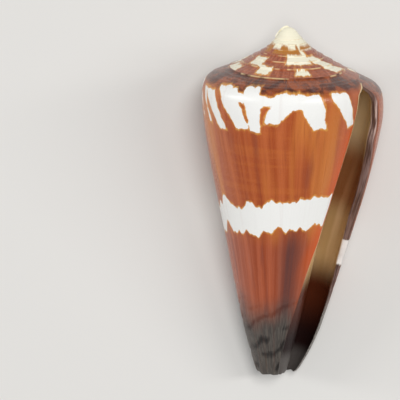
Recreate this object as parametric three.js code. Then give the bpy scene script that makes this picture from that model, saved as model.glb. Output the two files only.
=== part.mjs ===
// One cone shell, grown in one piece: spire, body whorl, lip and the winding cavity behind the lip.
// Lengths in millimetres, angles in degrees. In the shell's own frame the point of the spire is the
// origin, the axis runs down from it, and "depth" is the distance below the point.
import * as THREE from 'three';

// How the whorls wind, counted in turns back from the lip.
const LIP_AZIMUTH = -21;
const SUTURE_RADIUS = 9.87;
const SPIRE_GROWTH = 1.27;
const WHORLS = 7.5;
const SUTURE_STEP = 0.14;

// Outlines as [radius, depth].
const SPIRE = [
  [0, 0], [0.84, 0.35], [1.4, 0.91], [1.8, 1.47], [2.3, 2.03], [3.1, 2.83],
  [5, 4.1], [6.6, 4.95], [7.9, 5.7], [9.87, 6.6], [12.53, 8],
];
const LAST_WHORL = [
  [12.53, 8], [12.98, 8.45], [13.32, 9.15], [13.5, 10.2], [13.58, 12], [13.2, 15.1], [11.95, 21.4],
  [10.45, 27.6], [8.88, 33.8], [7.15, 40], [5.65, 44.8], [4, 48.4], [2.95, 50.2],
];
const WHORL_BEFORE = [
  [9.87, 6.6], [10.35, 6.9], [10.9, 7.35], [11.25, 8.1], [11.35, 9.6], [11.05, 12.3], [10.1, 17.3],
  [8.85, 22.6], [7.45, 28.5], [6, 35.4], [4.6, 42], [3.4, 47.2], [2.8, 50.2],
];
const TIP_LEAN = 0.4;

// Along the side a place is a fraction: -1 the suture above, 0 where the next whorl sits, 1 the base.
const FOOT = 0.02;
const OUTER_LIP = [
  [-1, 0], [0.17, 0], [0.32, 0.026], [0.46, 0.047], [0.6, 0.058], [0.85, 0.058], [0.95, 0.07], [1, 0.085],
];
const INNER_LIP = [
  [0, 1], [0.02, 1], [0.06, 0.968], [0.2, 0.957], [0.35, 0.947], [0.5, 0.937],
  [0.62, 0.925], [0.72, 0.9], [0.8, 0.88], [0.88, 0.85], [0.94, 0.83], [1, 0.82],
];
const LIP_THICKNESS = [
  [-1, 0.45], [-0.6, 0.5], [-0.2, 0.7], [0, 1], [0.06, 1.35], [0.15, 1.45],
  [0.45, 1.45], [0.6, 1], [0.75, 0.5], [1, 0.35],
];
const WALL_THICKNESS = [[-1, 0.8], [0, 1.2], [0.1, 1.5], [0.5, 1.5], [1, 0.9]];
const ROOF = -0.75;
const INNER_RECESS = 1.75;
const BASE_RECESS = 1.3;
const CAVITY_TURNS = 0.8;
const BASE_CAVITY_TURNS = 0.45;
const INNER_STEP = 0.03;
const CORNER_DROP = 0.6;

// The shell lies on its back with its axis sloping down to the base. It is worn nearly flat where it
// touches the floor. The worn patch is slightly hollow between four high points near these (x, y).
const REST_TILT = 13;
const REST_WEAR = 0.5;
const REST_HOLLOW = 0.2;
const REST_POINTS = [[-2.8, -1], [-2.4, 14], [3, 7], [1.9, -9]];

const AROUND = 60;
const SPIRE_ROWS = 4;
const SIDE_ROWS = 18;
const CAVITY_COLUMNS = 22;
const RIM_STEPS = 2;
const SPIRE_SPACING = 1.8;

const TURN = 2 * Math.PI;
const radians = (degrees) => (degrees * Math.PI) / 180;
const clamp = (x, low, high) => Math.min(Math.max(x, low), high);
const mix = (a, b, k) => a + (b - a) * k;
const steps = (count) => Array.from({ length: count + 1 }, (_, i) => i / count);

function ease(low, high, x) {
  const s = clamp((x - low) / (high - low), 0, 1);
  return s * s * (3 - 2 * s);
}

function segment(xs, x) {
  let i = 0;
  while (i < xs.length - 2 && xs[i + 1] <= x) i += 1;
  return i;
}

function linear(table, x) {
  const i = segment(table.map((row) => row[0]), x);
  const k = clamp((x - table[i][0]) / (table[i + 1][0] - table[i][0]), 0, 1);
  return mix(table[i][1], table[i + 1][1], k);
}

// A smooth curve through ys at xs, with each knot's slope taken from its neighbours.
function smoothCurve(xs, ys) {
  const last = xs.length - 1;
  const chord = (i) => (ys[i + 1] - ys[i]) / (xs[i + 1] - xs[i]);
  const slopes = xs.map((_, i) => {
    if (i === 0) return chord(0);
    if (i === last) return chord(last - 1);
    const before = xs[i] - xs[i - 1];
    const after = xs[i + 1] - xs[i];
    return (before * chord(i) + after * chord(i - 1)) / (before + after);
  });
  return (x) => {
    const i = segment(xs, x);
    const h = xs[i + 1] - xs[i];
    const s = (x - xs[i]) / h;
    const a = (2 * s ** 3 - 3 * s ** 2 + 1) * ys[i] + (s ** 3 - 2 * s ** 2 + s) * h * slopes[i];
    const b = (3 * s ** 2 - 2 * s ** 3) * ys[i + 1] + (s ** 3 - s ** 2) * h * slopes[i + 1];
    return a + b;
  };
}

function fractionsAlong(outline) {
  const lengths = [0];
  for (let i = 1; i < outline.length; i += 1) {
    const [a, b] = [outline[i - 1], outline[i]];
    lengths.push(lengths[i - 1] + Math.hypot(b[0] - a[0], b[1] - a[1]));
  }
  return lengths.map((length) => length / lengths[lengths.length - 1]);
}

const column = (table, k) => table.map((row) => row[k]);
const along = fractionsAlong(LAST_WHORL);
const lastRadius = smoothCurve(along, column(LAST_WHORL, 0));
const lastDepth = smoothCurve(along, column(LAST_WHORL, 1));
const beforeRadius = smoothCurve(along, column(WHORL_BEFORE, 0));
const beforeDepth = smoothCurve(along, column(WHORL_BEFORE, 1));
const spireDepth = smoothCurve(column(SPIRE, 0), column(SPIRE, 1));
const sutureRadius = (turns) => SUTURE_RADIUS * SPIRE_GROWTH ** -turns;

function rampPoint(turns, across) {
  const radius = mix(sutureRadius(turns), sutureRadius(turns - 1), across);
  const step = SUTURE_STEP * Math.min(1, sutureRadius(turns) / 6);
  return [radius, spireDepth(radius) + step * ease(0, 0.07, across) * (1 - across) ** 1.2];
}

function sidePoint(turns, fraction) {
  const radiusRatio = beforeRadius(fraction) / lastRadius(fraction);
  const depthRatio = beforeDepth(fraction) / lastDepth(fraction);
  return [lastRadius(fraction) * radiusRatio ** turns, lastDepth(fraction) * depthRatio ** turns];
}

const outerPoint = (turns, place) =>
  place > 0 ? sidePoint(turns, place) : rampPoint(turns, place + 1);
const outerLip = (place) => linear(OUTER_LIP, place);
const innerLip = (place) => (place > FOOT ? linear(INNER_LIP, place) : 1);

const cavityPlace = (across) => mix(ROOF, 1, across);
const cavityTurns = (place) => mix(CAVITY_TURNS, BASE_CAVITY_TURNS, ease(0.55, 1, place));

function recess(place) {
  const base = INNER_RECESS - BASE_RECESS;
  return INNER_RECESS * ease(FOOT, 0.09, place) - base * ease(0.6, 1, place);
}

// The cavity side of the outer wall; across runs from the corner under the suture to the base.
function wallPoint(turns, across) {
  const place = cavityPlace(across);
  const before = outerPoint(turns, place - 0.001);
  const after = outerPoint(turns, Math.min(place + 0.001, 1));
  const [dr, dd] = [after[0] - before[0], after[1] - before[1]];
  const run = Math.hypot(dr, dd);
  const grown = ease(0, 0.18, turns - outerLip(place));
  const thickness = mix(linear(LIP_THICKNESS, place), linear(WALL_THICKNESS, place), grown);
  const [radius, depth] = outerPoint(turns, place);
  const inner = [radius - (dd / run) * thickness, depth + (dr / run) * thickness];
  const corner = outerPoint(turns + 1, FOOT);
  const cornerDepth = corner[1] + CORNER_DROP * ease(0, INNER_STEP, turns);
  const away = ease(0, 0.05, across);
  return [
    mix(corner[0], inner[0], away),
    mix(mix(cornerDepth, inner[1], away), depth, ease(0.9, 1, across)),
  ];
}

// A place in space, moved on by "ahead" in the direction the shell grows.
function inSpace(turns, [radius, depth], ahead = 0) {
  const azimuth = radians(LIP_AZIMUTH) + TURN * turns;
  const [c, s] = [Math.cos(azimuth), Math.sin(azimuth)];
  const lean = TIP_LEAN * (1 - ease(0, 5, depth));
  return new THREE.Vector3(radius * c + ahead * s - lean, radius * s - ahead * c, -depth);
}

const points = [];
const triangles = [];
const addPoint = (point) => points.push(point) - 1;

function addFace(...corners) {
  const unique = corners.filter((corner, i) => corners.indexOf(corner) === i);
  for (let i = 2; i < unique.length; i += 1) triangles.push([unique[0], unique[i - 1], unique[i]]);
}

// Joins neighbouring lines of points; each line after the first lies to the left of the one before.
function addSheet(lines) {
  for (let k = 1; k < lines.length; k += 1) {
    const [a, b] = [lines[k - 1], lines[k]];
    for (let i = 1; i < a.length; i += 1) addFace(a[i - 1], b[i - 1], b[i], a[i]);
  }
}

// Joins two lines that hold different numbers of points, each point with its place along the line.
function addSeam(a, placesA, b, placesB) {
  let [i, j] = [0, 0];
  while (i < a.length - 1 || j < b.length - 1) {
    if (j === b.length - 1 || (i < a.length - 1 && placesA[i + 1] <= placesB[j + 1] + 1e-9)) {
      addFace(a[i], b[j], a[i + 1]);
      i += 1;
    } else {
      addFace(a[i], b[j], b[j + 1]);
      j += 1;
    }
  }
}

const transpose = (rows) => rows[0].map((_, k) => rows.map((row) => row[k]));

const rampPlaces = [-1, -0.93, ...steps(SPIRE_ROWS - 1).slice(1).map((s) => mix(-0.93, 0, s))];
const footPlaces = steps(RIM_STEPS).slice(1).map((s) => FOOT * s);
const sidePlaces = steps(SIDE_ROWS).slice(1).map((s) => mix(FOOT, 1, s));
const places = [...rampPlaces, ...footPlaces, ...sidePlaces];
const ramp = rampPlaces.length - 1;
const foot = ramp + RIM_STEPS;

// The last whorl from the lip back to the inner lip, one column of points per step.
function lastWhorl() {
  const columns = steps(AROUND).map((s) => places.map((place) => {
    const turns = mix(outerLip(place), innerLip(place), s);
    return addPoint(inSpace(turns, outerPoint(turns, place)));
  }));
  columns[0][0] = columns[AROUND][ramp];
  addSheet(transpose(columns));
  return columns;
}

// The earlier whorls' ramps, wound up to the point of the spire.
function spire(columns) {
  const turns = [1];
  while (turns[turns.length - 1] < WHORLS) {
    const now = turns[turns.length - 1];
    turns.push(Math.min(now + Math.min(0.1, SPIRE_SPACING / (TURN * sutureRadius(now - 1))), WHORLS));
  }
  const wound = turns.slice(1).map((turn) =>
    rampPlaces.slice(0, ramp).map((place) => addPoint(inSpace(turn, outerPoint(turn, place)))));
  const all = [columns[AROUND].slice(0, ramp), ...wound];
  addSheet(transpose(all));
  const suture = [...columns.map((c) => c[0]), ...wound.map((c) => c[0])];
  const sutureTurns = [...steps(AROUND), ...turns.slice(1)];
  const met = sutureTurns.filter((turn) => turn <= WHORLS - 1 + 1e-9).length;
  const metTurns = sutureTurns.slice(0, met).map((turn) => turn + 1);
  addSeam(all.map((c) => c[ramp - 1]), turns, suture.slice(0, met), metTurns);
  spireTip([...suture.slice(met - 1), ...all[all.length - 1].slice(1)]);
}

function spireTip(rim) {
  const tip = new THREE.Vector3(-TIP_LEAN, 0, 0);
  let ring = rim;
  [0.66, 0.33].forEach((k) => {
    const inner = rim.map((corner) => {
      const point = tip.clone().lerp(points[corner], k);
      point.z = -spireDepth(Math.hypot(point.x + TIP_LEAN, point.y));
      return addPoint(point);
    });
    addSheet([[...inner, inner[0]], [...ring, ring[0]]]);
    ring = inner;
  });
  const top = addPoint(tip);
  ring.forEach((corner, i) => addFace(corner, ring[(i + 1) % ring.length], top));
}

const cavitySteps = [...steps(RIM_STEPS).map((s) => s * INNER_STEP),
  ...steps(CAVITY_COLUMNS).slice(1).map((s) => mix(INNER_STEP, 1, s))];
const cavityAcross = steps(SIDE_ROWS);

// The whorl before, seen inside the aperture: it steps in from the inner lip.
function innerWall(columns) {
  const wallPlaces = places.slice(foot);
  const lines = cavitySteps.slice(1).map((s) => wallPlaces.map((place) => {
    const turns = mix(innerLip(place), 1 + cavityTurns(place), s);
    const [radius, depth] = outerPoint(turns, place);
    const stepped = ease(0, INNER_STEP, turns - innerLip(place));
    const drop = CORNER_DROP * (1 - ease(FOOT, 0.06, place));
    return addPoint(inSpace(turns, [radius - recess(place) * stepped, depth + drop * stepped]));
  }));
  const all = [columns[AROUND].slice(foot), ...lines];
  addSheet(transpose(all));
  return all;
}

function outerWall(inner) {
  const lines = cavitySteps.map((s, i) => {
    const wall = cavityAcross.slice(1).map((across) => {
      const place = cavityPlace(across);
      const turns = mix(outerLip(place), cavityTurns(place), s);
      return addPoint(inSpace(turns, wallPoint(turns, across)));
    });
    return [inner[i][0], ...wall];
  });
  addSheet(transpose(lines).reverse());
  addSheet([lines[lines.length - 1], inner[inner.length - 1]]);
  return lines;
}

// The rounded edge of the lip, from the outside round to the cavity.
function lipEdge(columns, wall) {
  const across = places.map((place) => linear([[-1, 0], [0, ROOF / (ROOF - 1)], [1, 1]], place));
  const lines = [columns[0]];
  steps(RIM_STEPS).slice(1, -1).forEach((s, k) => {
    const bulge = Math.sqrt(1 - (2 * s - 1) ** 2) / 4;
    const line = places.slice(1).map((place, i) => {
      const ahead = bulge * linear(LIP_THICKNESS, place);
      const outside = inSpace(outerLip(place), outerPoint(outerLip(place), place), ahead);
      const turns = outerLip(cavityPlace(across[i + 1]));
      const inside = inSpace(turns, wallPoint(turns, across[i + 1]), ahead);
      return addPoint(outside.lerp(inside, s));
    });
    lines.push([columns[AROUND][ramp + k + 1], ...line]);
  });
  addSheet(lines);
  addSeam(lines[lines.length - 1], across, wall[0], cavityAcross);
  return lines;
}

// The base, closed across the column, the wall and the slot between them.
function base(columns, inner, wall, edge) {
  const end = (line) => line[line.length - 1];
  const loop = [
    ...columns.map(end), ...inner.slice(1).map(end), ...wall.map(end).reverse(),
    ...edge.slice(1).map(end).reverse(),
  ];
  const outline = loop.map((corner) => new THREE.Vector2(points[corner].x, points[corner].y));
  THREE.ShapeUtils.triangulateShape(outline, []).forEach(([a, b, c]) => {
    const turn = outline[b].clone().sub(outline[a]).cross(outline[c].clone().sub(outline[a]));
    if (turn < 0) addFace(loop[a], loop[b], loop[c]);
    else addFace(loop[a], loop[c], loop[b]);
  });
}

function layDown() {
  const turned = new THREE.Matrix4().makeRotationX(-radians(90 - REST_TILT));
  points.forEach((point) => point.applyMatrix4(turned));
  const box = new THREE.Box3().setFromPoints(points);
  const middle = box.getCenter(new THREE.Vector3());
  points.forEach((point) => point.sub(new THREE.Vector3(middle.x, middle.y, box.min.z + REST_WEAR)));
  wearBack();
}

function wearBack() {
  const low = points.filter((point) => point.z < 0.6);
  const away = (point, x, y) => Math.hypot(point.x - x, point.y - y);
  const nearest = ([x, y]) => low.reduce((a, b) => (away(b, x, y) < away(a, x, y) ? b : a));
  const feet = REST_POINTS.map(nearest);
  low.forEach((point) => {
    const gap = Math.min(...feet.map((foot) => away(point, foot.x, foot.y)));
    point.z = gap === 0 ? 0 : Math.max(point.z, REST_HOLLOW * Math.min(gap, 1));
  });
}

function coneShell() {
  const columns = lastWhorl();
  spire(columns);
  const inner = innerWall(columns);
  const wall = outerWall(inner);
  base(columns, inner, wall, lipEdge(columns, wall));
  layDown();
  const geometry = new THREE.BufferGeometry().setFromPoints(points);
  geometry.setIndex(triangles.flat());
  const material = new THREE.MeshStandardMaterial({ color: 0xa8552b, roughness: 0.35 });
  const mesh = new THREE.Mesh(geometry, material);
  mesh.name = 'shell';
  return mesh;
}

const part = new THREE.Group();
part.name = 'cone_shell';
part.add(coneShell());

export default part;
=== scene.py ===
import bpy
import numpy as np
from mathutils import Matrix, Vector, noise
from mathutils.geometry import tessellate_polygon


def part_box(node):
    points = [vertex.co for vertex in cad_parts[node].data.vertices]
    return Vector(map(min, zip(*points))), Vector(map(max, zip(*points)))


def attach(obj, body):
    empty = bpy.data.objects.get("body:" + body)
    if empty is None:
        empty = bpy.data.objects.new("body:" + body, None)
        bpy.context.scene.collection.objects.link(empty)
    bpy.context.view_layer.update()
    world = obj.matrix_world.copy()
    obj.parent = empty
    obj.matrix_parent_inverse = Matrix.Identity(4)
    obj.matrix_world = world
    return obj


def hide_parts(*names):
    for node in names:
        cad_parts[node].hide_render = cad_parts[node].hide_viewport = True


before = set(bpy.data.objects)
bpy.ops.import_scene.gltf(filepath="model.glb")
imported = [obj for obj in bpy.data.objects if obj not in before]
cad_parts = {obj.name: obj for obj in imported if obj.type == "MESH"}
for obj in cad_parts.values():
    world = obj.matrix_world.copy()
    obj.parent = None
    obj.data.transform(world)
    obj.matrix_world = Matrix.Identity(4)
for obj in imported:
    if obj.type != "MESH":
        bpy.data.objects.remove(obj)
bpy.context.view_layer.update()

# The shell's own frame, in millimetres: the point of the spire is the origin, the axis runs down from
# it, and "depth" is the distance below the point. "turns" counts back from the lip, and "place" runs
# down a whorl: -1 the suture above it, 0 where the next whorl sits, 1 the base.
LIP_AZIMUTH = -21
SUTURE_RADIUS = 9.87
SPIRE_GROWTH = 1.27
WHORLS = 7.5
SUTURE_STEP = 0.17
SPIRE = [(0, 0), (0.84, 0.35), (1.4, 0.91), (1.8, 1.47), (2.3, 2.03), (3.1, 2.83),
         (5, 4.1), (6.6, 4.95), (7.9, 5.7), (9.87, 6.6), (12.53, 8)]
LAST_WHORL = [(12.53, 8), (12.98, 8.45), (13.32, 9.15), (13.5, 10.2), (13.58, 12), (13.2, 15.1),
              (11.95, 21.4), (10.45, 27.6), (8.88, 33.8), (7.15, 40), (5.65, 44.8), (4, 48.4), (2.95, 50.2)]
WHORL_BEFORE = [(9.87, 6.6), (10.35, 6.9), (10.9, 7.35), (11.25, 8.1), (11.35, 9.6), (11.05, 12.3),
                (10.1, 17.3), (8.85, 22.6), (7.45, 28.5), (6, 35.4), (4.6, 42), (3.4, 47.2), (2.8, 50.2)]
TIP_LEAN = 0.4
FOOT = 0.02
OUTER_LIP = [(-1, 0), (0.17, 0), (0.32, 0.026), (0.46, 0.047), (0.6, 0.058), (0.85, 0.058),
             (0.95, 0.07), (1, 0.085)]
INNER_LIP = [(0, 1), (0.02, 1), (0.06, 0.968), (0.2, 0.957), (0.35, 0.947), (0.5, 0.937),
             (0.62, 0.925), (0.72, 0.9), (0.8, 0.88), (0.88, 0.85), (0.94, 0.83), (1, 0.82)]
LIP_THICKNESS = [(-1, 0.45), (-0.6, 0.5), (-0.2, 0.7), (0, 1), (0.06, 1.35), (0.15, 1.45),
                 (0.45, 1.45), (0.6, 1), (0.75, 0.5), (1, 0.35)]
WALL_THICKNESS = [(-1, 0.8), (0, 1.2), (0.1, 1.5), (0.5, 1.5), (1, 0.9)]
ROOF, INNER_RECESS, BASE_RECESS = -0.75, 1.75, 1.3
CAVITY_TURNS, BASE_CAVITY_TURNS, INNER_STEP, CORNER_DROP = 0.8, 0.45, 0.03, 0.6
REST_TILT, REST_WEAR = 13, 0.5

AROUND, SPIRE_ROWS, SIDE_ROWS = 320, 14, 160
CAVITY_COLUMNS, RIM_STEPS, SPIRE_SPACING = 56, 6, 0.4

# White flames under the shoulder: degrees back from the lip at the top and at the foot, depth of the
# top and of the foot, half width in degrees. A bridge joins flames: from, to, depth, half height.
FLAMES = [
    (206, 211, 9.5, 12.5, 1.5), (215, 225, 8.5, 13, 2), (223, 240, 8.5, 13.5, 6), (242, 258, 7.5, 13, 9),
    (262, 267, 7, 13, 6), (290, 278, 7.5, 12, 9), (303, 314, 7.5, 12.5, 9), (328, 343, 7.5, 12.5, 7),
    (20, 25, 9, 13, 4), (48, 54, 8.5, 14, 5), (76, 78, 8, 14, 6), (96, 92, 8, 13, 5),
    (110, 107, 8.5, 12, 3), (120, 126, 8, 12.5, 6), (138, 144, 8.5, 13, 4), (152, 158, 7.5, 13, 5),
    (172, 174, 8, 13, 3), (186, 187, 8.5, 13, 4),
]
BRIDGES = [(245, 310, 8.7, 0.8), (18, 52, 9.7, 0.7), (76, 96, 9.7, 1), (136, 156, 10, 0.8),
           (168, 202, 8.5, 0.6)]
# The white band climbs as it goes back from the lip. Its edges wander by BAND_RAGGED.
BAND_DEPTH, BAND_CLIMB, BAND_HALF, BAND_RAGGED = 33.5, 9.4, 2.1, 2.2
# Patches on the spire: direction in degrees seen from above, inner and outer radius, half width in
# degrees, and how far they slant, in degrees a millimetre.
PATCHES = [
    (190, 7.2, 8.6, 12, 0), (215, 4.8, 6.4, 11, 3), (238, 6.2, 7.8, 8, 0), (283, 3, 5.4, 20, 0),
    (284, 6.3, 7.5, 8, 0), (325, 4, 7.4, 11, 9), (15, 8.4, 9.5, 7, 0), (28, 5.2, 7.3, 11, 0),
    (45, 3.4, 4.9, 18, 0), (60, 7.6, 8.8, 9, 0), (118, 3.4, 5.4, 20, 0), (122, 6.2, 7.8, 12, 0),
    (162, 6.2, 8.4, 10, -5),
]
# A healed break down the shell's back: depth, degrees back from the lip.
SCAR = [(5, 125), (12, 105), (20, 102), (35, 115), (51, 132)]

TURN = 2*np.pi


def mix(a, b, k):
    return a+(b-a)*k


def ease(low, high, x):
    s = np.clip((np.asarray(x, float)-low)/(high-low), 0, 1)
    return s*s*(3-2*s)


def linear(table, x):
    xs, ys = zip(*table)
    return np.interp(x, xs, ys)


def curve(xs, ys, x):
    """A smooth curve through ys at xs, with each knot's slope taken from its neighbours."""
    xs, ys = np.asarray(xs, float), np.asarray(ys, float)
    slope = np.gradient(ys, xs)
    i = np.clip(np.searchsorted(xs, x, side="right")-1, 0, len(xs)-2)
    h = xs[i+1]-xs[i]
    s = (x-xs[i])/h
    a = (2*s**3-3*s**2+1)*ys[i]+(s**3-2*s**2+s)*h*slope[i]
    return a+(3*s**2-2*s**3)*ys[i+1]+(s**3-s**2)*h*slope[i+1]


TOP, LAST, BEFORE = (np.array(table, float).T for table in (SPIRE, LAST_WHORL, WHORL_BEFORE))
ALONG = np.concatenate([[0], np.cumsum(np.hypot(*np.diff(LAST)))])
ALONG /= ALONG[-1]


def suture_radius(turns):
    return SUTURE_RADIUS*SPIRE_GROWTH**(-np.asarray(turns, float))


def spire_depth(radius):
    return curve(TOP[0], TOP[1], radius)


def outer(turns, place):
    """Radius and depth of the outside of the shell."""
    turns, place = np.broadcast_arrays(np.asarray(turns, float), np.asarray(place, float))
    across = np.clip(place+1, 0, 1)
    ramp_r = mix(suture_radius(turns), suture_radius(turns-1), across)
    step = SUTURE_STEP*np.minimum(1, suture_radius(turns)/6)
    ramp_d = spire_depth(ramp_r)+step*ease(0, 0.07, across)*(1-across)**1.2
    s = np.clip(place, 0, 1)
    r0, d0 = curve(ALONG, LAST[0], s), curve(ALONG, LAST[1], s)
    r1, d1 = curve(ALONG, BEFORE[0], s), curve(ALONG, BEFORE[1], s)
    on_side = place > 0
    chipped = 0.2*ease(0.97, 1, place)*(1.2+np.sin(turns*TURN*3+1)*np.sin(turns*TURN*7))
    side_r = r0*(r1/r0)**turns-0.2*ease(0.992, 1, place)
    return np.where(on_side, side_r, ramp_r), np.where(on_side, d0*(d1/d0)**turns-chipped, ramp_d)


def cavity_turns(place):
    return mix(CAVITY_TURNS, BASE_CAVITY_TURNS, ease(0.55, 1, place))


def recess(place):
    return INNER_RECESS*ease(FOOT, 0.09, place)-(INNER_RECESS-BASE_RECESS)*ease(0.6, 1, place)


def outer_lip(place):
    """The lip's edge, chipped a little more towards the base."""
    place = np.asarray(place, float)
    chips = np.abs(np.sin(place*61)*np.sin(place*37+1))**2+0.5*np.abs(np.sin(place*173))
    return linear(OUTER_LIP, place)+0.0045*chips*ease(0.1, 0.8, place)


def inner_lip(place):
    return linear(INNER_LIP, place)


def wall(turns, across):
    """Radius and depth of the cavity side of the outer wall."""
    place = mix(ROOF, 1, across)
    r0, d0 = outer(turns, place-0.001)
    r1, d1 = outer(turns, np.minimum(place+0.001, 1))
    run = np.hypot(r1-r0, d1-d0)
    grown = ease(0, 0.18, turns-outer_lip(place))
    thick = mix(linear(LIP_THICKNESS, place), linear(WALL_THICKNESS, place), grown)
    r, d = outer(turns, place)
    corner_r, corner_d = outer(turns+1, FOOT)
    corner_d = corner_d+CORNER_DROP*ease(0, INNER_STEP, turns)
    away = ease(0, 0.05, across)
    radius = mix(corner_r, r-(d1-d0)/run*thick, away)
    depth = mix(corner_d, d+(r1-r0)/run*thick, away)
    return radius, mix(depth, d, ease(0.9, 1, across))


def in_space(turns, radius, depth, ahead=0.0):
    azimuth = np.radians(LIP_AZIMUTH)+TURN*np.asarray(turns, float)
    c, s = np.cos(azimuth), np.sin(azimuth)
    lean = TIP_LEAN*(1-ease(0, 5, depth))
    return np.stack([radius*c+ahead*s-lean, radius*s-ahead*c, -depth+0*azimuth], -1)


# Points, and what each one is: turns back, place, how far it is inside, and how far across the lip's edge.
points, facts, faces = [], [], []


def add(xyz, turns, place, inside=0.0, edge=0.0):
    xyz = np.asarray(xyz, float).reshape(-1, 3)
    start = sum(len(p) for p in points)
    points.append(xyz)
    values = [np.broadcast_to(np.asarray(v, float).ravel(), len(xyz)) for v in (turns, place, inside, edge)]
    facts.append(np.stack(values, -1))
    return np.arange(start, start+len(xyz))


def face(*corners):
    kept = [int(c) for k, c in enumerate(corners) if c not in corners[:k]]
    if len(kept) > 2:
        faces.append(kept)


def sheet(lines):
    lines = np.asarray(lines)
    a, b = lines[:-1], lines[1:]
    for corners in np.stack([a[:, :-1], b[:, :-1], b[:, 1:], a[:, 1:]], -1).reshape(-1, 4).tolist():
        face(*corners)


def seam(a, places_a, b, places_b):
    i = j = 0
    while i < len(a)-1 or j < len(b)-1:
        if j == len(b)-1 or (i < len(a)-1 and places_a[i+1] <= places_b[j+1]+1e-9):
            face(a[i], b[j], a[i+1])
            i += 1
        else:
            face(a[i], b[j], b[j+1])
            j += 1


def steps(count):
    return np.linspace(0, 1, count+1)


RAMP = np.concatenate([[-1, -0.965], mix(-0.93, 0, steps(SPIRE_ROWS-2))])
PLACES = np.concatenate([RAMP, FOOT*steps(RIM_STEPS)[1:], mix(FOOT, 1, steps(SIDE_ROWS)[1:])])
FIRST = len(RAMP)-1
FOOT_ROW = FIRST+RIM_STEPS


def last_whorl():
    columns = []
    for s in steps(AROUND):
        turns = mix(outer_lip(PLACES), inner_lip(PLACES), s)
        columns.append(add(in_space(turns, *outer(turns, PLACES)), turns, PLACES))
    columns[0][0] = columns[-1][FIRST]
    sheet(np.array(columns).T)
    return columns


def spire(columns):
    turns = [1.0]
    while turns[-1] < WHORLS:
        turns.append(min(turns[-1]+min(0.05, SPIRE_SPACING/(TURN*float(suture_radius(turns[-1]-1)))), WHORLS))
    wound = [columns[-1][:FIRST]]
    for turn in turns[1:]:
        wound.append(add(in_space(np.full(FIRST, turn), *outer(turn, RAMP[:-1])), turn, RAMP[:-1]))
    sheet(np.array(wound).T)
    line = [c[0] for c in columns]+[c[0] for c in wound[1:]]
    line_turns = list(steps(AROUND))+turns[1:]
    met = sum(1 for turn in line_turns if turn <= WHORLS-1+1e-9)
    seam([c[-1] for c in wound], turns, line[:met], [turn+1 for turn in line_turns[:met]])
    tip(line[met-1:]+list(wound[-1][1:]))


def tip(rim):
    middle = np.array([-TIP_LEAN, 0, 0])
    corners = np.concatenate(points)[rim]
    ring = rim
    for k in (0.8, 0.6, 0.4, 0.2):
        xyz = mix(middle, corners, k)
        xyz[:, 2] = -spire_depth(np.hypot(xyz[:, 0]+TIP_LEAN, xyz[:, 1]))
        inner = add(xyz, WHORLS, -0.5)
        sheet([[*inner, inner[0]], [*ring, ring[0]]])
        ring = inner
    top = add(middle, WHORLS, -0.5)[0]
    for k in range(len(ring)):
        face(ring[k], ring[(k+1) % len(ring)], top)


CAVITY_STEPS = np.concatenate([INNER_STEP*steps(RIM_STEPS),
                               mix(INNER_STEP, 1, steps(CAVITY_COLUMNS)**1.2)[1:]])
CAVITY_ACROSS = steps(SIDE_ROWS)


def inner_wall(columns):
    place = PLACES[FOOT_ROW:]
    start = inner_lip(place)
    lines = [columns[-1][FOOT_ROW:]]
    for s in CAVITY_STEPS[1:]:
        turns = mix(start, 1+cavity_turns(place), s)
        radius, depth = outer(turns, place)
        stepped = ease(0, INNER_STEP, turns-start)
        depth = depth+CORNER_DROP*(1-ease(FOOT, 0.06, place))*stepped
        xyz = in_space(turns, radius-recess(place)*stepped, depth)
        lines.append(add(xyz, turns, place, 0.15+0.85*stepped))
    sheet(np.array(lines).T)
    return lines


def outer_wall(inner):
    across = CAVITY_ACROSS[1:]
    place = mix(ROOF, 1, across)
    lines = []
    for k, s in enumerate(CAVITY_STEPS):
        turns = mix(outer_lip(place), cavity_turns(place), s)
        ids = add(in_space(turns, *wall(turns, across)), turns, place, 2.0, 1.0 if k == 0 else 0.0)
        lines.append(np.concatenate([[inner[k][0]], ids]))
    sheet(np.array(lines).T[::-1])
    sheet([lines[-1], inner[-1]])
    return lines


def lip_edge(columns, walls):
    across = linear([(-1, 0), (0, ROOF/(ROOF-1)), (1, 1)], PLACES)
    thick = linear(LIP_THICKNESS, PLACES)
    start, turns = outer_lip(PLACES), outer_lip(mix(ROOF, 1, across))
    lines = [columns[0]]
    for k, s in enumerate(steps(RIM_STEPS)[1:-1]):
        ahead = thick*np.sqrt(1-(2*s-1)**2)/4
        outside = in_space(start, *outer(start, PLACES), ahead)
        inside = in_space(turns, *wall(turns, across), ahead)
        ids = add(mix(outside, inside, s)[1:], start[1:], PLACES[1:], s, s)
        lines.append(np.concatenate([[columns[-1][FIRST+k+1]], ids]))
    sheet(lines)
    seam(lines[-1], across, walls[0], CAVITY_ACROSS)
    return lines


def base(columns, inner, walls, edge):
    loop = [c[-1] for c in columns]+[c[-1] for c in inner[1:]]
    loop += [c[-1] for c in walls][::-1]+[c[-1] for c in edge[1:]][::-1]
    everything = np.concatenate(points)
    flat = [Vector((everything[k][0], everything[k][1], 0)) for k in loop]
    for a, b, c in tessellate_polygon([flat]):
        turn = (flat[b]-flat[a]).cross(flat[c]-flat[a]).z
        face(*((loop[a], loop[b], loop[c]) if turn < 0 else (loop[a], loop[c], loop[b])))


def waves(x, y, seed, octaves=3):
    """Smooth seeded noise between about -1 and 1."""
    total = np.zeros(len(x))
    for o in range(octaves):
        k = 2**o
        total += np.array([noise.noise(Vector((a*k, b*k, seed+o))) for a, b in zip(x, y)])/k
    return total


ARC = np.radians(1)*12.6


def flame(shape, back, depth):
    top_at, foot_at, top, foot, half = shape
    down = np.clip((depth-top)/(foot-top), 0, 1)
    width = half*(1-0.45*down**2)
    return np.minimum((width-np.abs(back-mix(top_at, foot_at, down)))*ARC, np.minimum(depth-top, foot-depth))


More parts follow.
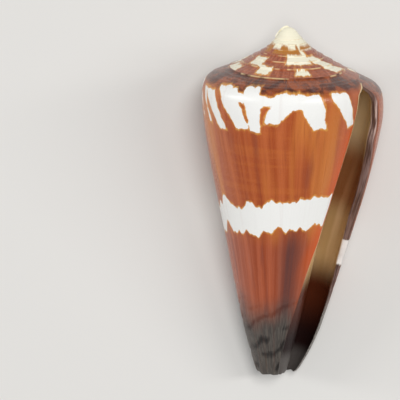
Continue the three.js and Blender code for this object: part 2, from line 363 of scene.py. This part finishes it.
def bridge(shape, back, depth):
    start, end, middle, half = shape
    return np.minimum(np.minimum(back-start, end-back)*ARC, half-np.abs(depth-middle))


def band(back, depth):
    """Signed distance into the white band, whose two edges are ragged in their own ways."""
    middle = BAND_DEPTH-BAND_CLIMB*(back/360)**0.75
    zero = np.zeros(len(back))
    top = middle-BAND_HALF+BAND_RAGGED*waves(back*0.055, zero, 61)
    low = middle+BAND_HALF+BAND_RAGGED*waves(back*0.055, zero, 74)
    return np.minimum(depth-top, low-depth)


def patch(shape, x, y):
    direction, inner, outer, half, slant = shape
    radius = np.hypot(x, y)
    off = np.degrees(np.arctan2(y, x))-direction-slant*(radius-(inner+outer)/2)
    off = np.abs((off+180) % 360-180)
    return np.minimum(np.radians(half-off)*radius, np.minimum(radius-inner, outer-radius))


def markings(turns, place, xyz, depth):
    """Signed distance into the white, over the last whorl and the spire."""
    white = np.full(len(turns), -9.0)
    side = (place > -0.6) & (turns <= 1.0)
    back, down = turns[side]*360, depth[side]
    shapes = [flame(f, back, down) for f in FLAMES]+[bridge(b, back, down) for b in BRIDGES]
    wander = 0.4*waves(back*ARC*0.4, down*0.4, 45, 2)
    white[side] = np.maximum(np.max(shapes, 0)+wander, band(back, down))
    high = (turns > 0.93) & (place < 0.0)
    x, y = xyz[high, 0], xyz[high, 1]
    found = np.max([patch(p, x, y) for p in PATCHES], 0)+0.3*waves(x*0.7, y*0.7, 52)
    white[high] = np.maximum(white[high], found)
    return white


def seen_radius(xyz):
    return np.hypot(xyz[:, 0]+TIP_LEAN*(1-ease(0, 5, -xyz[:, 2])), xyz[:, 1])


def furrows(turns, radius, depth, grown):
    """Slanting furrows round the base, 1 at the bottom of one."""
    wander = 0.6*waves(grown*0.15, depth*0.3, 21, 2)
    phase = np.sin((depth+0.42*np.radians(turns*360)*radius+wander)*TURN/1.4)
    broken = ease(-0.45, 0.25, waves(grown*0.12, depth*0.5, 87, 2))
    return (0.5-0.5*phase)**7*broken*ease(34, 41, depth)*(1-0.6*ease(49, 50.2, depth))


def relief(turns, place, xyz, depth, grown, scar):
    """How far the outside stands in from the smooth form: growth lines, furrows, the scar."""
    radius = seen_radius(xyz)
    side = ease(0, 0.1, place)
    lines = 0.012*waves(grown*0.9, depth*0.06, 3)
    swell = 0.035*waves(grown*0.1, depth*0.08, 9, 2)
    mend = -0.07*np.exp(-(scar/0.3)**2)-0.05*ease(0, 0.5, scar)*(1-ease(0.5, 4, scar))
    spiral = 0.02*np.cos(np.clip(place+1, 0, 1)*TURN*3)*(1-side)
    spire_lines = 0.014*waves(turns*40, radius*0.3, 33)*(1-side)
    furrow = -0.16*furrows(turns, radius, depth, grown)
    out = side*(lines+swell+furrow+mend*ease(6, 9, depth))+spiral+spire_lines
    return np.minimum(out-0.1, -0.02)


def lie(xyz):
    tilted = np.array(Matrix.Rotation(-np.radians(90-REST_TILT), 3, "X"))
    return xyz @ tilted.T


def normals(xyz, polygons):
    out = np.zeros_like(xyz)
    for size in (3, 4):
        p = np.array([f for f in polygons if len(f) == size])
        n = np.cross(xyz[p[:, 2]]-xyz[p[:, 0]], xyz[p[:, -1]]-xyz[p[:, 1]])
        for k in range(size):
            np.add.at(out, p[:, k], n)
    return out/np.maximum(np.linalg.norm(out, axis=1, keepdims=True), 1e-12)


def shell_object():
    columns = last_whorl()
    spire(columns)
    inner = inner_wall(columns)
    walls = outer_wall(inner)
    base(columns, inner, walls, lip_edge(columns, walls))
    xyz = np.concatenate(points)
    turns, place, inside, edge = np.concatenate(facts).T
    depth = -xyz[:, 2]
    grown = (turns-outer_lip(place)*(1-np.clip(turns, 0, 1)))*80
    scar = (turns*360-curve(*zip(*SCAR), depth))*np.radians(1)*seen_radius(xyz)
    scar = np.where((inside > 0) | (edge > 0) | (turns > 1), 9, scar)
    outside = (inside == 0) & (edge == 0)
    push = np.where(outside, relief(turns, place, xyz, depth, grown, scar), -0.03)
    push = np.where(inside > 0, 0, push)
    smooth = lie(xyz)
    low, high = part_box("shell")
    low, high = np.array(low)*1000, np.array(high)*1000
    moved = (low+high)/2-(smooth.min(0)+smooth.max(0))/2
    moved[2] = low[2]-REST_WEAR-smooth[:, 2].min()
    final = lie(xyz+push[:, None]*normals(xyz, faces))+moved
    final[:, 2] = np.maximum(final[:, 2], 0.02)
    final = np.clip(final, low, high)
    mesh = bpy.data.meshes.new("cone_shell")
    mesh.from_pydata((final/1000).tolist(), [], faces)
    mesh.validate()
    white = markings(turns, place, xyz, depth)
    white = np.where(outside | (edge > 0), white, -9)
    radius = seen_radius(xyz)
    base_grey = ease(36.5, 43.5, depth+1.2*waves(grown*0.1, depth*0.2, 50, 2))
    scar_grey = np.exp(-((scar+0.9)/1.3)**2)*ease(6, 8, depth)
    low_scar = ease(29, 34, depth)*np.exp(-((scar+0.5)/3.2)**2)
    rim = (turns <= 1)*np.maximum(0, 1-(inner_lip(place)-turns)*TURN*radius/2.2)

    marks = {
        "white": white,
        "grey": np.clip(np.maximum(base_grey, np.maximum(0.75*scar_grey, 0.8*low_scar)), 0, 1),
        "ramp": (1-ease(0.012, 0.05, place))*(turns <= 1)*(inside == 0),
        "spire": ((turns > 1) & (inside == 0))*1.0,
        "radius": radius,
        "inside": np.where((edge > 0) & (inside <= 1), 0, np.clip(inside, 0, 1)),
        "lining": np.clip(inside-1, 0, 1),
        "edge": ease(0.02, 0.2, edge)*(inside < 1.5),
        "scar": scar,
        "place": place,
        "furrow": furrows(turns, radius, depth, grown)*outside,
        "stain": np.exp(-((turns*360-301)/13)**2)*ease(25, 31, depth)*outside,
        "rim": rim*outside*ease(0.1, 0.2, place)*(1-ease(30, 37, depth)),
    }
    for name, values in marks.items():
        layer = mesh.attributes.new(name, "FLOAT", "POINT")
        layer.data.foreach_set("value", np.asarray(values, np.float32))
    layer = mesh.attributes.new("grown", "FLOAT_VECTOR", "POINT")
    layer.data.foreach_set("vector", np.stack([grown, depth, edge*2], -1).astype(np.float32).ravel())
    mesh.shade_smooth()
    mesh.set_sharp_from_angle(angle=np.radians(50))
    shell = bpy.data.objects.new("cone_shell", mesh)
    bpy.context.collection.objects.link(shell)
    return shell


def tone(red, green, blue):
    """A colour as it looks on screen, 0 to 255, as the linear values a shader takes."""
    c = np.array([red, green, blue])/255
    return (*np.where(c <= 0.04045, c/12.92, ((c+0.055)/1.055)**2.4), 1)


class Shader:
    def __init__(self, name):
        self.material = bpy.data.materials.new(name)
        self.material.use_nodes = True
        self.tree = self.material.node_tree
        self.surface = self.tree.nodes["Principled BSDF"]

    def put(self, socket, value):
        if isinstance(value, bpy.types.NodeSocket):
            self.tree.links.new(value, socket)
        else:
            socket.default_value = value

    def node(self, kind, **settings):
        node = self.tree.nodes.new(kind)
        for key, value in settings.items():
            setattr(node, key, value)
        return node

    def read(self, name, vector=False):
        node = self.node("ShaderNodeAttribute", attribute_name=name)
        return node.outputs["Vector" if vector else "Fac"]

    def math(self, operation, a, b=0.0):
        node = self.node("ShaderNodeMath", operation=operation)
        self.put(node.inputs[0], a)
        self.put(node.inputs[1], b)
        return node.outputs[0]

    def blend(self, amount, a, b):
        node = self.node("ShaderNodeMix", data_type="RGBA")
        self.put(node.inputs[0], amount)
        self.put(node.inputs[6], a)
        self.put(node.inputs[7], b)
        return node.outputs[2]

    def span(self, value, low, high, to_low=0.0, to_high=1.0):
        node = self.node("ShaderNodeMapRange", interpolation_type="SMOOTHSTEP")
        for socket, v in zip(node.inputs[:5], (value, low, high, to_low, to_high)):
            self.put(socket, v)
        return node.outputs[0]

    def stretch(self, vector, scale):
        node = self.node("ShaderNodeMapping")
        self.put(node.inputs["Vector"], vector)
        self.put(node.inputs["Scale"], scale)
        return node.outputs[0]

    def noise(self, vector, scale, detail=4.0, rough=0.55, warp=0.0):
        node = self.node("ShaderNodeTexNoise")
        self.put(node.inputs["Vector"], self.stretch(vector, scale))
        self.put(node.inputs["Scale"], 1.0)
        self.put(node.inputs["Detail"], detail)
        self.put(node.inputs["Roughness"], rough)
        self.put(node.inputs["Distortion"], warp)
        return node.outputs["Fac"]


def shell_material():
    s = Shader("shell_gloss")
    grown = s.read("grown", vector=True)
    parts = s.node("ShaderNodeSeparateXYZ")
    s.put(parts.inputs[0], grown)
    depth = parts.outputs[1]
    white, grey, ramp, place = s.read("white"), s.read("grey"), s.read("ramp"), s.read("place")
    spire_mask, radius, inside = s.read("spire"), s.read("radius"), s.read("inside")
    lining, edge, scar, rim = s.read("lining"), s.read("edge"), s.read("scar"), s.read("rim")
    furrow, stain = s.read("furrow"), s.read("stain")

    streaks = s.noise(grown, (0.75, 0.025, 1), 4, 0.55)
    fine = s.noise(grown, (4.0, 0.1, 1), 4, 0.6)
    broad = s.noise(grown, (0.17, 0.03, 1), 2, 0.5)
    zones = s.noise(grown, (0.3, 0.06, 4), 3, 0.5)
    rows = s.noise(grown, (0.04, 0.9, 7), 3, 0.55)
    mottle = s.noise(grown, (1.1, 1.1, 1), 5, 0.6)
    speck = s.noise(grown, (7, 7, 7), 3, 0.6)

    # Orange-brown body, redder below the white band, streaked along the growth lines.
    warm = s.blend(s.span(streaks, 0.32, 0.68), tone(166, 76, 34), tone(190, 100, 54))
    warm = s.blend(s.span(broad, 0.46, 0.62, 0, 0.7), warm, tone(212, 130, 60))
    warm = s.blend(s.span(rows, 0.5, 0.68, 0, 0.35), warm, tone(200, 112, 52))
    warm = s.blend(s.span(zones, 0.52, 0.66, 0, 0.6), warm, tone(146, 74, 50))
    warm = s.blend(s.span(fine, 0.52, 0.74, 0, 0.5), warm, tone(136, 58, 30))
    red = s.blend(s.span(streaks, 0.3, 0.7), tone(154, 70, 38), tone(184, 98, 66))
    red = s.blend(s.span(zones, 0.52, 0.68, 0, 0.5), red, tone(116, 62, 54))
    red = s.blend(s.span(fine, 0.5, 0.75, 0, 0.4), red, tone(178, 114, 94))
    body = s.blend(s.span(depth, 27, 31), warm, red)
    stained = s.math("MULTIPLY", stain, s.span(streaks, 0.3, 0.6, 0.55, 0.9))
    body = s.blend(stained, body, tone(84, 54, 52))
    body = s.blend(rim, body, tone(206, 84, 6))

    # Dark shoulder ramp with slanting orange and grey streaks.
    slant = s.noise(grown, (0.32, 0.9, 1), 5, 0.55, 1.2)
    ramp_tone = s.blend(s.span(slant, 0.4, 0.64), tone(84, 42, 30), tone(160, 82, 44))
    ramp_tone = s.blend(s.span(mottle, 0.52, 0.7, 0, 0.5), ramp_tone, tone(104, 84, 84))
    body = s.blend(ramp, body, ramp_tone)
    spire_tone = s.blend(s.span(mottle, 0.4, 0.65), tone(150, 76, 48), tone(186, 108, 74))
    body = s.blend(spire_mask, body, spire_tone)

    # White flames and band, with a golden fringe where the brown thins out.
    ragged = s.math("ADD", s.math("MULTIPLY", s.noise(grown, (1.2, 1.2, 1), 5, 0.65, 0.4), 0.9), -0.46)
    shape = s.math("ADD", white, ragged)
    fringe = s.math("MULTIPLY", s.span(shape, -0.36, -0.06), s.span(mottle, 0.36, 0.58, 0.35, 1.0))
    body = s.blend(fringe, body, tone(222, 158, 76))
    pale = s.blend(s.span(streaks, 0.52, 0.75, 0, 0.4), tone(246, 245, 241), tone(226, 216, 210))
    pale = s.blend(s.math("MULTIPLY", spire_mask, 0.8), pale, tone(252, 244, 214))
    body = s.blend(s.span(shape, -0.05, 0.08), body, pale)

    # Cream point, with golden-brown spots below it, broken pale lines along the sutures, and a line of
    # painted shade in the suture groove on the spire.
    wobble = s.math("ADD", radius, s.math("MULTIPLY", mottle, 1.2))
    cream = s.blend(s.span(speck, 0.55, 0.75, 0, 0.6), tone(250, 244, 218), tone(232, 202, 138))
    spots = s.math("MULTIPLY", s.span(wobble, 2.9, 3.4), s.span(wobble, 4.6, 4.1))
    spots = s.math("MULTIPLY", spots, s.span(s.noise(grown, (0.16, 0.16, 3), 2, 0.5), 0.46, 0.54))
    body = s.blend(s.span(wobble, 3.9, 3.4), body, cream)
    body = s.blend(spots, body, tone(184, 120, 50))
    above = s.math("MULTIPLY", s.span(place, -0.93, -0.975), s.span(zones, 0.46, 0.56))
    body = s.blend(s.math("MULTIPLY", above, 0.8), body, tone(228, 200, 148))
    # Painted shade: a darker line on the spire along the suture groove.
    suture_groove_shade = s.math("MULTIPLY", s.span(place, -0.07, -0.01), spire_mask)
    body = s.blend(s.math("MULTIPLY", suture_groove_shade, 0.7), body, tone(92, 48, 32))

    # Grey, worn base and healed break. Between the furrows the grey is lightened as a painted highlight on
    # the ridges, and down in the furrows it is darkened as painted shade.
    wear_and_furrow_shading = s.blend(s.span(s.noise(grown, (1.6, 0.5, 1), 4, 0.6, 0.5), 0.36, 0.66), tone(46, 42, 39),
                   tone(84, 78, 72))
    # Painted highlight: lighter grey outside the furrows, on the ridges.
    wear_and_furrow_shading = s.blend(s.span(furrow, 0.0, 0.2, 0.2, 0.0), wear_and_furrow_shading, tone(118, 110, 102))
    # Painted shade: near-black down in the furrows.
    wear_and_furrow_shading = s.blend(s.span(furrow, 0.1, 0.8, 0.0, 0.65), wear_and_furrow_shading, tone(24, 21, 20))
    body = s.blend(s.math("MULTIPLY", grey, s.span(streaks, 0.25, 0.55, 0.88, 1.0)), body, wear_and_furrow_shading)
    mended = s.span(s.math("ABSOLUTE", scar), 0.2, 0.03, 0, 0.75)
    body = s.blend(s.math("MULTIPLY", mended, s.span(depth, 6, 7)), body, tone(206, 176, 132))

    # Tan and brown zones inside the aperture, dark at the base. The tan and brown are painted far paler than
    # the shell's own colour, palest near the opening: painted light standing in for the light that shines
    # into the cavity through the thin wall.
    glow_tan = s.blend(s.span(broad, 0.4, 0.65), tone(212, 172, 116), tone(238, 202, 150))
    glow_brown = s.blend(s.span(broad, 0.4, 0.65), tone(168, 108, 64), tone(196, 138, 90))
    # Painted light: near-white at the top of the cavity, with paler tan and brown below it.
    aperture_colour_and_glow = s.blend(s.span(depth, 15, 20), tone(250, 222, 172), glow_brown)
    aperture_colour_and_glow = s.blend(s.span(depth, 24.5, 28), aperture_colour_and_glow, glow_tan)
    aperture_colour_and_glow = s.blend(s.span(depth, 33, 38), aperture_colour_and_glow, tone(88, 40, 22))
    aperture_colour_and_glow = s.blend(s.span(depth, 39, 45), aperture_colour_and_glow, tone(34, 16, 14))
    pillar = s.math("MULTIPLY", s.span(depth, 46, 48), s.span(lining, 0, 1, 1, 0.8))
    aperture_colour_and_glow = s.blend(pillar, aperture_colour_and_glow, tone(92, 86, 82))
    body = s.blend(s.span(inside, 0.02, 0.3), body, aperture_colour_and_glow)
    callus = s.math("MULTIPLY", s.span(inside, 0.0, 0.12), s.span(inside, 0.62, 0.4))
    body = s.blend(s.math("MULTIPLY", callus, s.span(depth, 13, 9)), body, tone(232, 206, 160))

    # Layered edge of the lip, with a pale pink painted highlight near its top.
    layers = s.noise(grown, (0.3, 0.22, 3.2), 4, 0.65, 0.4)
    lip = s.blend(s.span(layers, 0.4, 0.6), tone(72, 46, 38), tone(138, 112, 106))
    lip = s.blend(s.span(zones, 0.45, 0.6, 0, 0.5), lip, tone(120, 84, 62))
    # Painted highlight: pale pink on the pink layers of the lip's edge near its top.
    rosy_highlight = s.math("MULTIPLY", s.span(depth, 8.5, 10), s.span(depth, 16, 12))
    lip = s.blend(s.math("MULTIPLY", rosy_highlight, s.span(layers, 0.45, 0.62)), lip, tone(214, 184, 172))
    chalk = s.blend(s.span(speck, 0.42, 0.56), tone(62, 56, 54), tone(172, 166, 158))
    lip = s.blend(s.span(depth, 37, 42), lip, chalk)
    lip = s.blend(s.math("MULTIPLY", s.span(shape, -0.1, 0.3), 0.9), lip, tone(246, 238, 232))
    body = s.blend(edge, body, lip)

    s.put(s.surface.inputs["Base Color"], body)
    rough = s.span(grey, 0.2, 0.9, 0.27, 0.5)
    rough = s.math("ADD", rough, s.span(speck, 0.3, 0.8, -0.04, 0.1))
    rough = s.math("ADD", rough, s.math("MULTIPLY", edge, 0.2))
    s.put(s.surface.inputs["Roughness"], rough)
    s.surface.inputs["IOR"].default_value = 1.44
    s.surface.inputs["Coat Weight"].default_value = 0.12
    s.surface.inputs["Coat Roughness"].default_value = 0.12

    hair = s.noise(grown, (7, 0.35, 3), 3, 0.6)
    height = s.math("ADD", s.math("MULTIPLY", hair, 0.6), s.math("MULTIPLY", speck, 0.2))
    height = s.math("ADD", height, s.math("MULTIPLY", s.noise(grown, (2.4, 1.2, 2), 4, 0.7, 0.8),
                                          s.span(grey, 0.3, 1.0, 0.0, 2.4)))
    height = s.math("ADD", height, s.math("MULTIPLY", layers, s.math("MULTIPLY", edge, 3.0)))
    bump = s.node("ShaderNodeBump")
    bump.inputs["Strength"].default_value = 0.4
    bump.inputs["Distance"].default_value = 0.00012
    s.put(bump.inputs["Height"], height)
    s.put(s.surface.inputs["Normal"], bump.outputs[0])
    return s.material


def floor_object():
    mesh = bpy.data.meshes.new("floor")
    size = 3.0
    corners = [(-size, -size, 0), (size, -size, 0), (size, size, 0), (-size, size, 0)]
    mesh.from_pydata(corners, [], [(0, 1, 2, 3)])
    floor = bpy.data.objects.new("floor", mesh)
    bpy.context.collection.objects.link(floor)
    s = Shader("floor_paper")
    s.surface.inputs["Base Color"].default_value = tone(222, 220, 216)
    s.surface.inputs["Roughness"].default_value = 0.85
    mesh.materials.append(s.material)


def soft_light(name, angle, distance, size, power, glossy=True):
    """A soft box that leans from straight overhead by the angle in degrees, to the right if positive."""
    data = bpy.data.lights.new(name, "AREA")
    data.shape, data.size, data.size_y, data.energy = "RECTANGLE", *size, power
    light = bpy.data.objects.new(name, data)
    light.location = (distance*np.sin(np.radians(angle)), 0.1*distance, distance*np.cos(np.radians(angle)))
    light.rotation_euler = (-Vector(light.location)).to_track_quat("-Z", "Y").to_euler()
    light.visible_glossy = glossy
    bpy.context.collection.objects.link(light)


def lights():
    soft_light("overhead", 4, 1.0, (0.22, 0.5), 5.6, glossy=False)
    soft_light("right", 42, 0.8, (0.1, 0.5), 1.7)
    soft_light("left", -66, 0.8, (0.12, 0.5), 1.7)
    world = bpy.data.worlds.new("studio")
    bpy.context.scene.world = world
    world.use_nodes = True
    world.node_tree.nodes["Background"].inputs[0].default_value = (0.95, 0.97, 1, 1)
    world.node_tree.nodes["Background"].inputs[1].default_value = 0.25
    bpy.context.scene.view_settings.view_transform = "Standard"


def camera():
    """Looks straight down on the shell, which lies to the right of the view and leans a little in it."""
    low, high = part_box("shell")
    length = high.y-low.y
    data = bpy.data.cameras.new("camera")
    data.lens = 400
    data.sensor_width = 36
    width = length*1.137
    height = width*data.lens/data.sensor_width
    view = bpy.data.objects.new("camera", data)
    view.location = ((low.x+high.x)/2-0.25*length, (low.y+high.y)/2-0.004*length, height+0.4*high.z)
    view.rotation_euler = (0, 0, 0.042)
    bpy.context.collection.objects.link(view)
    bpy.context.scene.camera = view


shell = shell_object()
shell.data.materials.append(shell_material())
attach(shell, "root")
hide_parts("shell")
floor_object()
lights()
camera()
